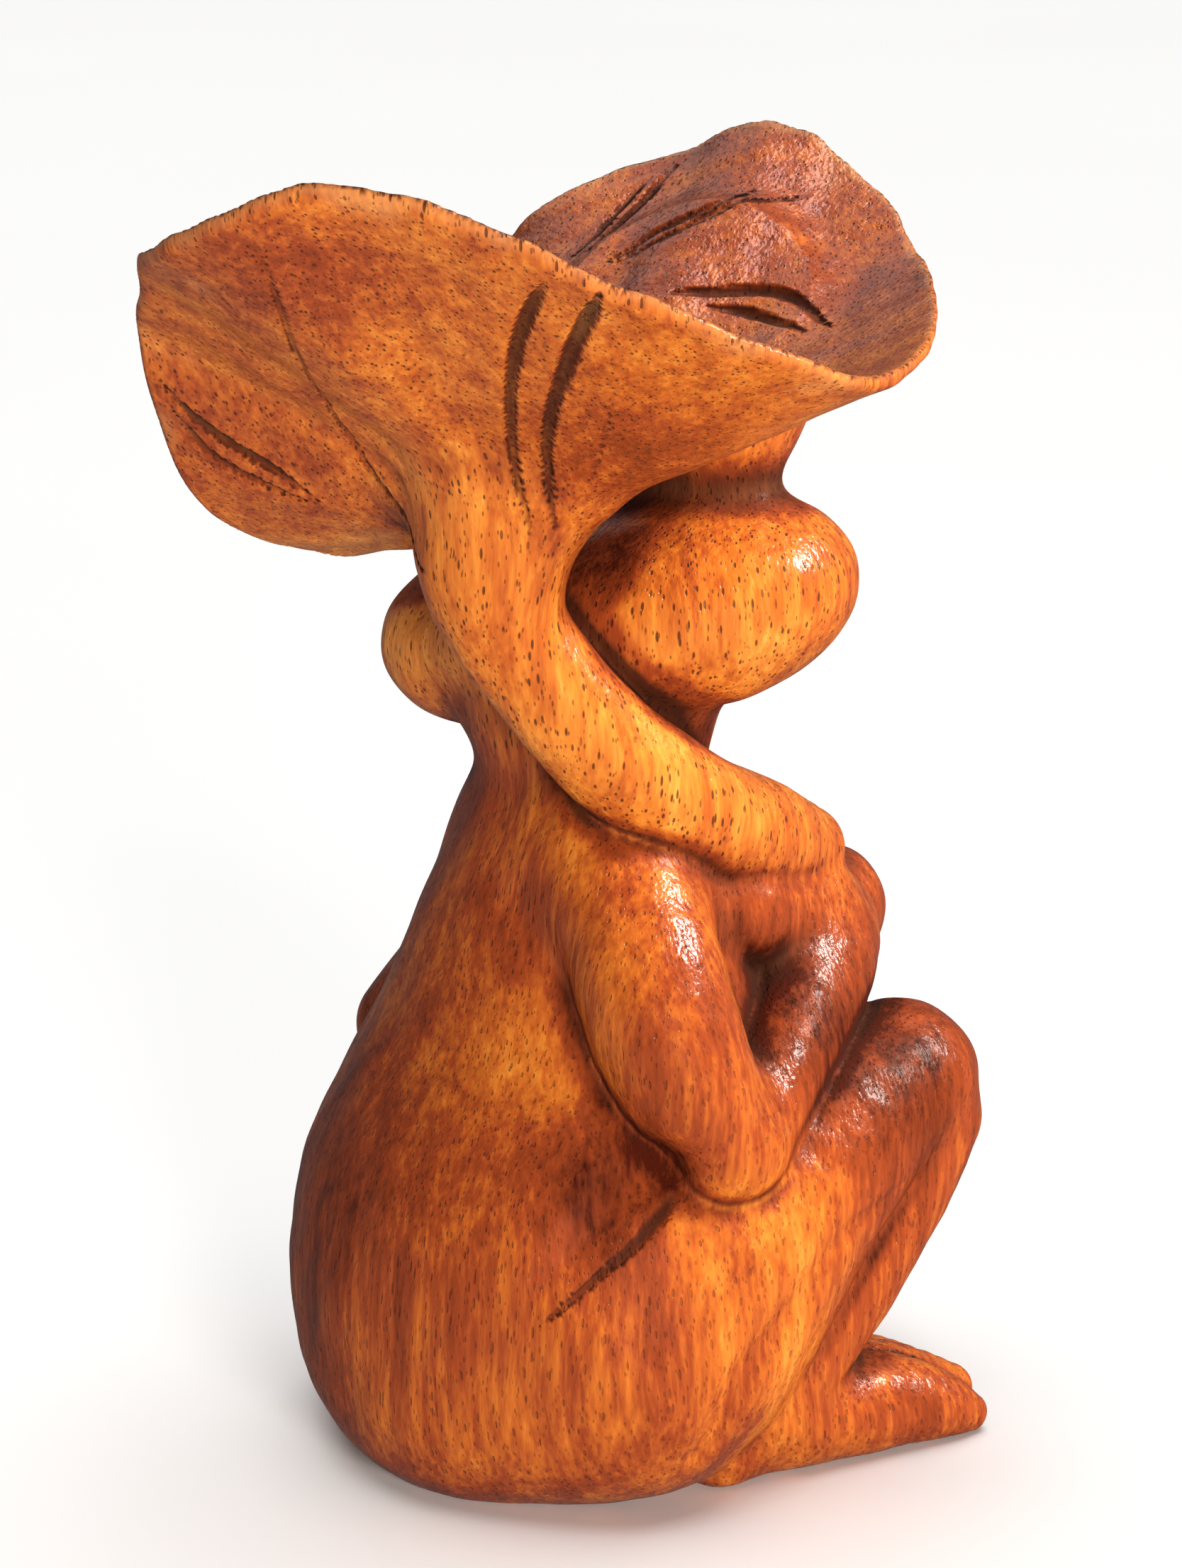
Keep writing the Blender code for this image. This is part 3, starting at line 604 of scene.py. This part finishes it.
class Skin:
    """Surface nets over the labelled grid: one point for each cell that holds two labels or more."""

    def __init__(self, grid):
        self.grid = grid
        label = grid.label
        size = np.array(label.shape) - 1
        lowest = np.full(size, 127, np.int8)
        highest = np.full(size, -1, np.int8)
        for corner in np.ndindex(2, 2, 2):
            part = label[tuple(slice(c, c + n) for c, n in zip(corner, size))]
            np.minimum(lowest, part, out=lowest)
            np.maximum(highest, part, out=highest)
        mixed = lowest != highest
        self.cells = np.argwhere(mixed)
        self.number = np.full(size, -1, np.int32)
        self.number[mixed] = np.arange(len(self.cells))
        outer = lowest[mixed] == -1
        self.points = self.first_points()
        self.settle(outer)
        self.quads = {name: [] for name in NAMES}
        self.collect_quads()

    def first_points(self):
        """The mean of the places where each cell's edges cross from one label to another."""
        total = np.zeros((len(self.cells), 3), np.float32)
        count = np.zeros(len(self.cells), np.float32)
        for axis in range(3):
            others = [other for other in range(3) if other != axis]
            for first, second in np.ndindex(2, 2):
                start = self.cells.copy()
                start[:, others[0]] += first
                start[:, others[1]] += second
                end = start.copy()
                end[:, axis] += 1
                place, onward = tuple(start.T), tuple(end.T)
                a, b = self.grid.label[place], self.grid.label[onward]
                crossing = a != b
                from_a, from_b = self.grid.solid[place], self.grid.solid[onward]
                drop = np.where(np.abs(from_a - from_b) > TINY, from_a - from_b, 1)
                t = np.where((a < 0) | (b < 0), np.clip(from_a / drop, 0, 1), 0.5)
                where = start.astype(np.float32)
                where[:, axis] += t
                total[crossing] += where[crossing]
                count[crossing] += 1
        return (total / count[:, None] * STEP + self.grid.low).T.astype(np.float32)

    def settle(self, outer):
        """Draws the outer points onto the carving and measures the slope of the surface there."""
        self.normal = np.zeros_like(self.points)
        self.marks = {mark: np.zeros(len(outer), np.float32) for mark in MARKS}
        carving = self.grid.carving
        chosen = np.flatnonzero(outer)
        for start in range(0, len(chosen), CHUNK):
            part = chosen[start:start + CHUNK]
            p = self.points[:, part]
            near = self.grid.near_at(p)
            for _ in range(2):
                p = carving.towards_surface(p, near)
            _, slope = carving.gradient(p, near)
            normal = slope / np.maximum(np.sqrt((slope ** 2).sum(0)), TINY)
            self.points[:, part] = p
            self.normal[:, part] = normal
            # How enclosed the surface is, close by and further off: the material paints shade where it is
            # enclosed.
            for mark, reach in (("cavity", CAVITY_REACH), ("hollow", HOLLOW_REACH)):
                self.marks[mark][part] = np.clip(1 - carving(p + reach * normal, near) / reach, 0, 1)
            # How sharply the surface bulges: the material paints such edges pale, partly as wear and partly
            # as a painted highlight.
            beneath = carving(p - EDGE_WEAR_AND_HIGHLIGHT_REACH * normal, near)
            self.marks["edge_wear_and_highlight"][part] = np.clip(1 + beneath / EDGE_WEAR_AND_HIGHLIGHT_REACH, 0, 1)
            values = carving.shares(p, near)
            self.marks["tone"][part] = tone_at(p, values)
            # Depth inside a knife cut, which the material paints dark as shade.
            uncut = carving.whole(p, values, knife=False)
            self.marks["cut"][part] = np.clip(-uncut / CUT_REACH, 0, 1)

    def collect_quads(self):
        label = self.grid.label
        for axis in range(3):
            second, third = (axis + 1) % 3, (axis + 2) % 3
            low, high = np.zeros(3, int), np.array(label.shape)
            high[axis] -= 1
            low[[second, third]] = 1
            high[[second, third]] -= 1
            window = tuple(slice(a, b) for a, b in zip(low, high))
            onward = list(window)
            onward[axis] = slice(low[axis] + 1, high[axis] + 1)
            before, after = label[window], label[tuple(onward)]
            edges = np.argwhere(before != after)
            starts, ends = before[tuple(edges.T)], after[tuple(edges.T)]
            node = edges + low
            corners = []
            for back_second, back_third in ((1, 1), (0, 1), (0, 0), (1, 0)):
                cell = node.copy()
                cell[:, second] -= back_second
                cell[:, third] -= back_third
                corners.append(self.number[tuple(cell.T)])
            corners = np.array(corners).T
            for label_number, name in enumerate(NAMES):
                mine, other = starts == label_number, ends == label_number
                self.quads[name].append((corners[mine], ends[mine] < 0))
                self.quads[name].append((corners[other][:, ::-1], starts[other] < 0))

    def mesh(self, name, factor):
        """Closed mesh of one piece. Its outside is shaded by the carving's own slope."""
        quads = np.vstack([corners for corners, _ in self.quads[name]])
        outside = np.concatenate([flags for _, flags in self.quads[name]])
        used, quads = np.unique(quads, return_inverse=True)
        quads = quads.reshape(-1, 4)
        points = self.points[:, used].T * factor
        mesh = bpy.data.meshes.new(name + "_carved")
        mesh.vertices.add(len(points))
        mesh.vertices.foreach_set("co", points.astype(np.float32).ravel())
        mesh.loops.add(quads.size)
        mesh.loops.foreach_set("vertex_index", quads.astype(np.int32).ravel())
        mesh.polygons.add(len(quads))
        mesh.polygons.foreach_set("loop_start", np.arange(0, quads.size, 4, dtype=np.int32))
        mesh.polygons.foreach_set("use_smooth", np.ones(len(quads), bool))
        mesh.update(calc_edges=True)
        across = points[quads[:, 2]] - points[quads[:, 0]]
        along = points[quads[:, 3]] - points[quads[:, 1]]
        flat = np.cross(across, along)
        flat /= np.maximum(np.linalg.norm(flat, axis=1, keepdims=True), 1e-12)
        shading = np.repeat(flat[:, None, :], 4, axis=1)
        shading[outside] = self.normal[:, used].T[quads[outside]]
        mesh.normals_split_custom_set(shading.reshape(-1, 3).tolist())
        for mark in MARKS:
            layer = mesh.attributes.new(mark, "FLOAT", "POINT")
            layer.data.foreach_set("value", self.marks[mark][used])
        return mesh


def tone_at(p, values):
    """Tone of the wood, which changes softly from one mass to the next and over the zones, which also hold
    painted shade and painted highlights.
    """
    weights = np.exp(-np.maximum(values - values.min(0), 0) / TONE_BLEND)
    tones = np.array([row[2] for row in PIECES], np.float32)
    tone = (weights * tones[:, None]).sum(0) / weights.sum(0)
    for *centre, radius, change in TONE_AND_PAINTED_LIGHT_ZONES:
        tone += change * np.exp(-(ball(p, centre) / radius) ** 2)
    return tone


# ---- Wood

MIX_STOPS = (
    (0.00, (0.050, 0.006, 0.002)),
    (0.22, (0.125, 0.017, 0.005)),
    (0.42, (0.260, 0.042, 0.009)),
    (0.60, (0.430, 0.098, 0.012)),
    (0.78, (0.580, 0.180, 0.022)),
    (1.00, (0.740, 0.310, 0.055)),
)
# Shade painted into crevices and knife cuts.
CREVICE_PAINTED_SHADE = (0.030, 0.009, 0.005)
PORE = (0.050, 0.013, 0.006)
# Pale edges: partly wear, partly a painted highlight.
WORN_AND_HIGHLIT_EDGE = (0.640, 0.300, 0.110)
PITH = (0.070, -0.150, 0.0)   # the tree's centre line, in metres; growth rings are round it

# Scales of the textures, in features to the metre. Those along the grain are stretched upwards.
SWAY_SCALE = 28
CLOUD_SCALE = 45
PATCH_SCALE = 120
SKIN_SCALE = 900
RING_SCALE = 150.0
RING_SCALE_UP = 5.0
KNIFE_SCALE = (230, 230, 150)
STREAK_SCALE = (360, 360, 45)
FIBRE_SCALE = (1500, 1500, 150)
TICK_SCALE = (2300, 2300, 700)
SWAY = 0.006             # metres over which the grain sways
# How strongly each texture changes the tone.
BAND_TONE = 0.55
STREAK_TONE = 0.60
CLOUD_TONE = 0.30
FIBRE_TONE = 0.62
# Painted shade in hollows, taken off the tone.
HOLLOW_PAINTED_SHADE = 0.32
BUMP_STRENGTH = 0.68
BUMP_DISTANCE = 0.0004
# Pores: spacing, length and width in millimetres, and the share of places that hold one.
WIDE_PORES = (0.54, 2.2, 0.15, 0.85)
SMALL_PORES = (0.38, 1.2, 0.10, 0.8)
SMALL_PORES_OFFSET = (0.0007, 0.0003, 0.002)
SMALL_PORES_STRENGTH = 0.7


class Graph:
    """Small helper for wiring one material."""

    def __init__(self, name):
        self.material = bpy.data.materials.new(name)
        self.material.use_nodes = True
        self.tree = self.material.node_tree
        self.shader = self.tree.nodes["Principled BSDF"]

    def add(self, kind, *inputs, **settings):
        """New node; each input is a value, a socket to link from, or None to leave it alone."""
        node = self.tree.nodes.new(kind)
        for key, value in settings.items():
            setattr(node, key, value)
        for socket, value in zip(node.inputs, inputs):
            self.feed(socket, value)
        return node

    def feed(self, socket, value):
        if value is None:
            return
        if isinstance(value, bpy.types.NodeSocket):
            self.tree.links.new(value, socket)
        else:
            socket.default_value = value

    def math(self, operation, *inputs, clamp=False):
        return self.add("ShaderNodeMath", *inputs, operation=operation, use_clamp=clamp).outputs[0]

    def vector(self, operation, a, b):
        return self.add("ShaderNodeVectorMath", a, b, operation=operation).outputs["Vector"]

    def noise(self, vector, scale, detail, roughness=0.5):
        node = self.add("ShaderNodeTexNoise")
        self.feed(node.inputs["Vector"], vector)
        node.inputs["Scale"].default_value = scale
        node.inputs["Detail"].default_value = detail
        node.inputs["Roughness"].default_value = roughness
        return node

    def range(self, value, low, high, to_low=0.0, to_high=1.0):
        node = self.add("ShaderNodeMapRange", value, low, high, to_low, to_high, clamp=True)
        node.interpolation_type = "SMOOTHSTEP"
        return node.outputs[0]

    def mix(self, factor, a, b):
        node = self.add("ShaderNodeMix", data_type="RGBA")
        self.feed(node.inputs["Factor"], factor)
        self.feed(node.inputs[6], a)
        self.feed(node.inputs[7], b)
        return node.outputs[2]

    def attribute(self, name):
        return self.add("ShaderNodeAttribute", attribute_name=name).outputs["Fac"]


def pores(graph, place, spacing, length, width, share):
    """Open pores that run up the grain: dashes on an upright face, dots on a level one."""
    stretched = graph.vector("MULTIPLY", place, (1000 / spacing, 1000 / spacing, 1000 / length))
    cells = graph.add("ShaderNodeTexVoronoi", feature="F1")
    graph.feed(cells.inputs["Vector"], stretched)
    cells.inputs["Scale"].default_value = 1.0
    chance = graph.add("ShaderNodeSeparateColor", cells.outputs["Color"]).outputs[0]
    depth = graph.range(chance, 1 - share, 1 - 0.6 * share)
    hole = graph.range(cells.outputs["Distance"], width / spacing * 0.55, width / spacing, 1.0, 0.0)
    return graph.math("MULTIPLY", hole, depth)


class Wood(Graph):
    """Vertical-grained, stained and varnished hardwood."""

    def __init__(self, name, gloss, pore_strength):
        super().__init__(name)
        self.place = self.add("ShaderNodeTexCoord").outputs["Object"]
        self.bent = self.swayed()
        self.fibre = self.stretched(self.bent, FIBRE_SCALE, 3, 0.6)
        self.skin = self.noise(self.place, SKIN_SCALE, 3, 0.6).outputs["Fac"]
        self.holes = self.open_pores()
        # Crevices and knife cuts, which the colour darkens as painted shade.
        cut = self.range(self.attribute("cut"), 0.25, 1.0)
        self.crevice = self.math("MAXIMUM", self.range(self.attribute("cavity"), 0.08, 0.55), cut)
        self.hollow = self.range(self.attribute("hollow"), 0.06, 0.60)
        # The tone, with shade painted into the hollows.
        self.tone_with_painted_light = self.math("MULTIPLY_ADD", self.hollow, -HOLLOW_PAINTED_SHADE, self.attribute("tone"))
        self.feed(self.shader.inputs["Base Color"], self.colour(pore_strength))
        self.feed(self.shader.inputs["Roughness"], self.roughness(gloss))
        relief = self.relief()
        self.feed(self.shader.inputs["Normal"], relief)
        self.feed(self.shader.inputs["Coat Normal"], relief)
        self.varnish()

    def swayed(self):
        """The place in the wood, moved a little sideways so that the grain isn't ruler-straight."""
        sway = self.noise(self.place, SWAY_SCALE, 2)
        sway = self.vector("SUBTRACT", sway.outputs["Color"], (0.5, 0.5, 0.5))
        sway = self.vector("MULTIPLY", sway, (SWAY, SWAY, 0.0))
        return self.vector("ADD", self.place, sway)

    def stretched(self, place, scales, detail, roughness=0.5):
        """Noise with its own scale along each axis."""
        return self.noise(self.vector("MULTIPLY", place, scales), 1.0, detail, roughness).outputs["Fac"]

    def varied(self, base, texture, amount):
        """The base value, raised and lowered by a texture that varies round one half."""
        return self.math("MULTIPLY_ADD", self.math("SUBTRACT", texture, 0.5), amount, base)

    def bands(self):
        """Soft growth rings round the tree's centre line."""
        from_pith = self.vector("MULTIPLY", self.vector("SUBTRACT", self.bent, PITH), (1, 1, 0))
        ring = self.add("ShaderNodeVectorMath", from_pith, operation="LENGTH").outputs["Value"]
        height = self.add("ShaderNodeSeparateXYZ", self.bent).outputs["Z"]
        rings = self.add("ShaderNodeCombineXYZ", self.math("MULTIPLY", ring, RING_SCALE), 0.0,
                         self.math("MULTIPLY", height, RING_SCALE_UP)).outputs[0]
        return self.noise(rings, 1.0, 2).outputs["Fac"]

    def open_pores(self):
        """Wide pores with narrower ones among them."""
        wide = pores(self, self.bent, *WIDE_PORES)
        small = pores(self, self.vector("ADD", self.bent, SMALL_PORES_OFFSET), *SMALL_PORES)
        return self.math("MAXIMUM", wide, self.math("MULTIPLY", small, SMALL_PORES_STRENGTH))

    def colour(self, pore_strength):
        """Stained wood with painted shade in its hollows, crevices and knife cuts, convex edges made pale
        partly as wear and partly as a painted highlight, and dark pores.
        """
        tone = self.varied(self.tone_with_painted_light, self.bands(), BAND_TONE)
        tone = self.varied(tone, self.stretched(self.bent, STREAK_SCALE, 3, 0.55), STREAK_TONE)
        tone = self.varied(tone, self.noise(self.place, CLOUD_SCALE, 3).outputs["Fac"], CLOUD_TONE)
        tone = self.varied(tone, self.fibre, FIBRE_TONE)
        ramp = self.add("ShaderNodeValToRGB", tone)
        stops = ramp.color_ramp.elements
        added = [stops.new(0.5) for _ in MIX_STOPS[2:]]
        for (position, colour), stop in zip(MIX_STOPS, [*stops[:2], *added]):
            stop.position = position
            stop.color = (*colour, 1)
        colour = ramp.outputs[0]
        # Convex edges painted pale, partly as wear and partly as a painted highlight; then the pores, and
        # painted shade in crevices and knife cuts.
        edge_wear_and_highlight = self.range(self.attribute("edge_wear_and_highlight"), 0.3, 0.9)
        for mask, strength, shade in ((edge_wear_and_highlight, 0.35, WORN_AND_HIGHLIT_EDGE), (self.holes, pore_strength, PORE),
                                      (self.crevice, 0.85, CREVICE_PAINTED_SHADE)):
            colour = self.mix(self.math("MULTIPLY", mask, strength), colour, (*shade, 1))
        return colour

    def roughness(self, gloss):
        """Duller where the varnish sinks in: over pores, where the tone is dark, both from stain and from
        painted shade, in hollows and crevices.
        """
        rough = self.varied(gloss, self.noise(self.place, PATCH_SCALE, 2).outputs["Fac"], 0.22)
        rough = self.varied(rough, self.skin, 0.18)
        rough = self.math("MULTIPLY_ADD", self.holes, 0.30, rough)
        rough = self.math("ADD", rough, self.range(self.tone_with_painted_light, 0.08, 0.30, 0.22, 0.0))
        rough = self.math("MULTIPLY_ADD", self.hollow, 0.25, rough)
        return self.math("MULTIPLY_ADD", self.crevice, 0.35, rough, clamp=True)

    def relief(self):
        """Knife facets, skin, fibre, fine ticks and pores as one bump."""
        height = self.math("MULTIPLY", self.stretched(self.place, KNIFE_SCALE, 2), 0.40)
        ticks = self.stretched(self.bent, TICK_SCALE, 1)
        for texture, amount in ((self.skin, 0.34), (self.fibre, 0.20), (ticks, 0.30), (self.holes, -0.55)):
            height = self.math("MULTIPLY_ADD", texture, amount, height)
        bump = self.add("ShaderNodeBump")
        bump.inputs["Strength"].default_value = BUMP_STRENGTH
        bump.inputs["Distance"].default_value = BUMP_DISTANCE
        self.feed(bump.inputs["Height"], height)
        return bump.outputs[0]

    def varnish(self):
        """A satin coat that is thin where the tone is dark, both from stain and from painted shade, and
        missing from hollows and crevices.
        """
        self.shader.inputs["Specular IOR Level"].default_value = 0.14
        self.shader.inputs["Specular Tint"].default_value = (1.0, 0.80, 0.62, 1.0)
        coat = self.range(self.tone_with_painted_light, 0.10, 0.34, 0.02, 0.36)
        dulled = self.math("MAXIMUM", self.crevice, self.hollow)
        shine = self.math("MULTIPLY", coat, self.math("SUBTRACT", 1.0, dulled))
        self.feed(self.shader.inputs["Coat Weight"], shine)
        self.shader.inputs["Coat Roughness"].default_value = 0.19


# Material slot: roughness of the varnish and how strongly the pores show.
WOODS = {"torso_wood": (0.38, 0.42), "head_wood": (0.33, 0.85), "leaf_wood": (0.42, 0.80),
         "stem_wood": (0.35, 0.85), "limb_wood": (0.33, 0.36), "foot_wood": (0.36, 0.45)}


def place_pieces(skin, factor, carving):
    """Adds the pieces, which the collection `carving` gathers for the lamps that light nothing else."""
    woods = {name: Wood(name + "_varnished", *settings).material for name, settings in WOODS.items()}
    for name, slot, _ in PIECES:
        mesh = skin.mesh(name, factor)
        mesh.materials.append(woods[slot])
        piece = bpy.data.objects.new(name + "_carved", mesh)
        bpy.context.scene.collection.objects.link(piece)
        carving.objects.link(piece)
        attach(piece, "root")
        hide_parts(name)


# ---- Floor, light and camera

SIDES = 96
FLOOR_RADIUS = 5.0
CAMERA_AZIMUTH = 232.0
CAMERA_ELEVATION = 15.0
CAMERA_DISTANCE = 0.400
CAMERA_TARGET = (0.0, 0.0, 0.062)
LENS_TO_SENSOR = 2.821   # focal length as a share of the sensor's long side
# Lights: degrees to the right of the camera, degrees up, distance and size (both in metres), watts,
# colour, the kind of reflection that it makes, and what it lights.
LIGHTS = (
    ("key", 18, 8, 0.90, 0.34, 10.4, (1.0, 0.955, 0.89), "matt", "everything"),
    ("window", 84, 41, 0.55, 0.16, 5.4, (1.0, 0.98, 0.95), "both", "carving"),
    ("skylight", 20, 86, 0.80, 0.40, 6.0, (0.96, 0.98, 1.0), "gloss", "carving"),
    ("rim", -150, 52, 0.70, 0.50, 0.9, (1.0, 0.98, 0.96), "both", "carving"),
)
FLOOR_LIGHT = 3.1        # strength of the light that falls only on the floor
SKY_STRENGTH = 0.13
BACKDROP_RADIUS = 4.8
BACKDROP_HEIGHT = 3.5
BACKDROP_GLOW = 0.93
FLOOR_SHADES = ((0.86, 0.855, 0.845, 1), (0.9, 0.9, 0.895, 1))
FLOOR_LAMP_ANGLE = 60    # degrees that the floor's lamp spans, which keeps its light soft
SENSOR = 36.0            # long side of the sensor, in millimetres


def direction(azimuth, elevation):
    a, e = math.radians(azimuth), math.radians(elevation)
    return Vector((math.sin(a) * math.cos(e), -math.cos(a) * math.cos(e), math.sin(e)))


def aim(item, target):
    item.rotation_euler = (target - item.location).to_track_quat("-Z", "Y").to_euler()


def circle(radius, height):
    turns = [math.tau * side / SIDES for side in range(SIDES)]
    return [(radius * math.cos(turn), radius * math.sin(turn), height) for turn in turns]


def pale_backdrop():
    """A far wall that only the camera sees, so that the floor never ends in a dark sky."""
    points = circle(BACKDROP_RADIUS, -0.1) + circle(BACKDROP_RADIUS, BACKDROP_HEIGHT)
    faces = []
    for side in range(SIDES):
        onward = (side + 1) % SIDES
        faces.append((side, SIDES + side, SIDES + onward, onward))
    mesh = bpy.data.meshes.new("backdrop")
    mesh.from_pydata(points, [], faces)
    graph = Graph("pale_backdrop")
    graph.shader.inputs["Base Color"].default_value = (0.0, 0.0, 0.0, 1.0)
    graph.shader.inputs["Specular IOR Level"].default_value = 0.0
    graph.shader.inputs["Emission Color"].default_value = (1.0, 1.0, 0.995, 1.0)
    graph.shader.inputs["Emission Strength"].default_value = BACKDROP_GLOW
    mesh.materials.append(graph.material)
    wall = bpy.data.objects.new("backdrop", mesh)
    wall.visible_diffuse = False
    wall.visible_glossy = False
    wall.visible_transmission = False
    wall.visible_shadow = False
    bpy.context.scene.collection.objects.link(wall)


def pale_floor():
    """A plain disc with a faint unevenness of tone, lit by a lamp of its own."""
    points = [(0.0, 0.0, 0.0), *circle(FLOOR_RADIUS, 0.0)]
    faces = [(0, 1 + side, 1 + (side + 1) % SIDES) for side in range(SIDES)]
    mesh = bpy.data.meshes.new("floor")
    mesh.from_pydata(points, [], faces)
    graph = Graph("pale_floor")
    cloud = graph.noise(graph.add("ShaderNodeTexCoord").outputs["Object"], 3, 2).outputs["Fac"]
    graph.feed(graph.shader.inputs["Base Color"], graph.mix(cloud, *FLOOR_SHADES))
    graph.shader.inputs["Roughness"].default_value = 0.8
    mesh.materials.append(graph.material)
    floor = bpy.data.objects.new("floor", mesh)
    floor.visible_glossy = False
    bpy.context.scene.collection.objects.link(floor)
    lit = bpy.data.collections.new("lit_by_floor_light")
    lit.objects.link(floor)
    data = bpy.data.lights.new("floor_light", "SUN")
    data.energy = FLOOR_LIGHT
    data.angle = math.radians(FLOOR_LAMP_ANGLE)
    lamp = bpy.data.objects.new("floor_light", data)
    lamp.light_linking.receiver_collection = lit
    bpy.context.scene.collection.objects.link(lamp)


def studio(carving):
    """The lamps and a faint white sky. Most lamps light only the collection `carving`."""
    scene = bpy.context.scene
    target = Vector(CAMERA_TARGET)
    for name, right, up, distance, size, power, colour, reflection, lights in LIGHTS:
        data = bpy.data.lights.new(name, "AREA")
        data.shape = "DISK"
        data.size = size
        data.energy = power
        data.color = colour
        lamp = bpy.data.objects.new(name, data)
        lamp.location = target + direction(CAMERA_AZIMUTH + right, up) * distance
        aim(lamp, target)
        lamp.visible_diffuse = reflection != "gloss"
        lamp.visible_glossy = reflection != "matt"
        if lights == "carving":
            lamp.light_linking.receiver_collection = carving
        scene.collection.objects.link(lamp)
    world = bpy.data.worlds.new("studio")
    world.use_nodes = True
    sky = world.node_tree.nodes["Background"]
    sky.inputs["Color"].default_value = (1.0, 1.0, 1.0, 1)
    sky.inputs["Strength"].default_value = SKY_STRENGTH
    scene.world = world
    scene.view_settings.view_transform = "Standard"


def camera():
    data = bpy.data.cameras.new("camera")
    data.sensor_width = SENSOR
    data.lens = SENSOR * LENS_TO_SENSOR
    data.clip_start = 0.01
    data.clip_end = 50.0
    item = bpy.data.objects.new("camera", data)
    target = Vector(CAMERA_TARGET)
    item.location = target + direction(CAMERA_AZIMUTH, CAMERA_ELEVATION) * CAMERA_DISTANCE
    aim(item, target)
    bpy.context.scene.collection.objects.link(item)
    bpy.context.scene.camera = item


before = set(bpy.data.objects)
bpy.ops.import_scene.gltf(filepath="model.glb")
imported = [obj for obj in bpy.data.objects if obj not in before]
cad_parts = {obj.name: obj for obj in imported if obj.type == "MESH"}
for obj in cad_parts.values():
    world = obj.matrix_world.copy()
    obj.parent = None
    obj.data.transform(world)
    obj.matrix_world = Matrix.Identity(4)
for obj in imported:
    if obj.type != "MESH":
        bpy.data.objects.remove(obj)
cad_low, cad_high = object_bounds()
metres_per_design_mm = (cad_high.z - cad_low.z) / DESIGN_HEIGHT
skin = Skin(Grid(Carving()))
carving = bpy.data.collections.new("carving")
place_pieces(skin, metres_per_design_mm, carving)
pale_floor()
pale_backdrop()
studio(carving)
camera()
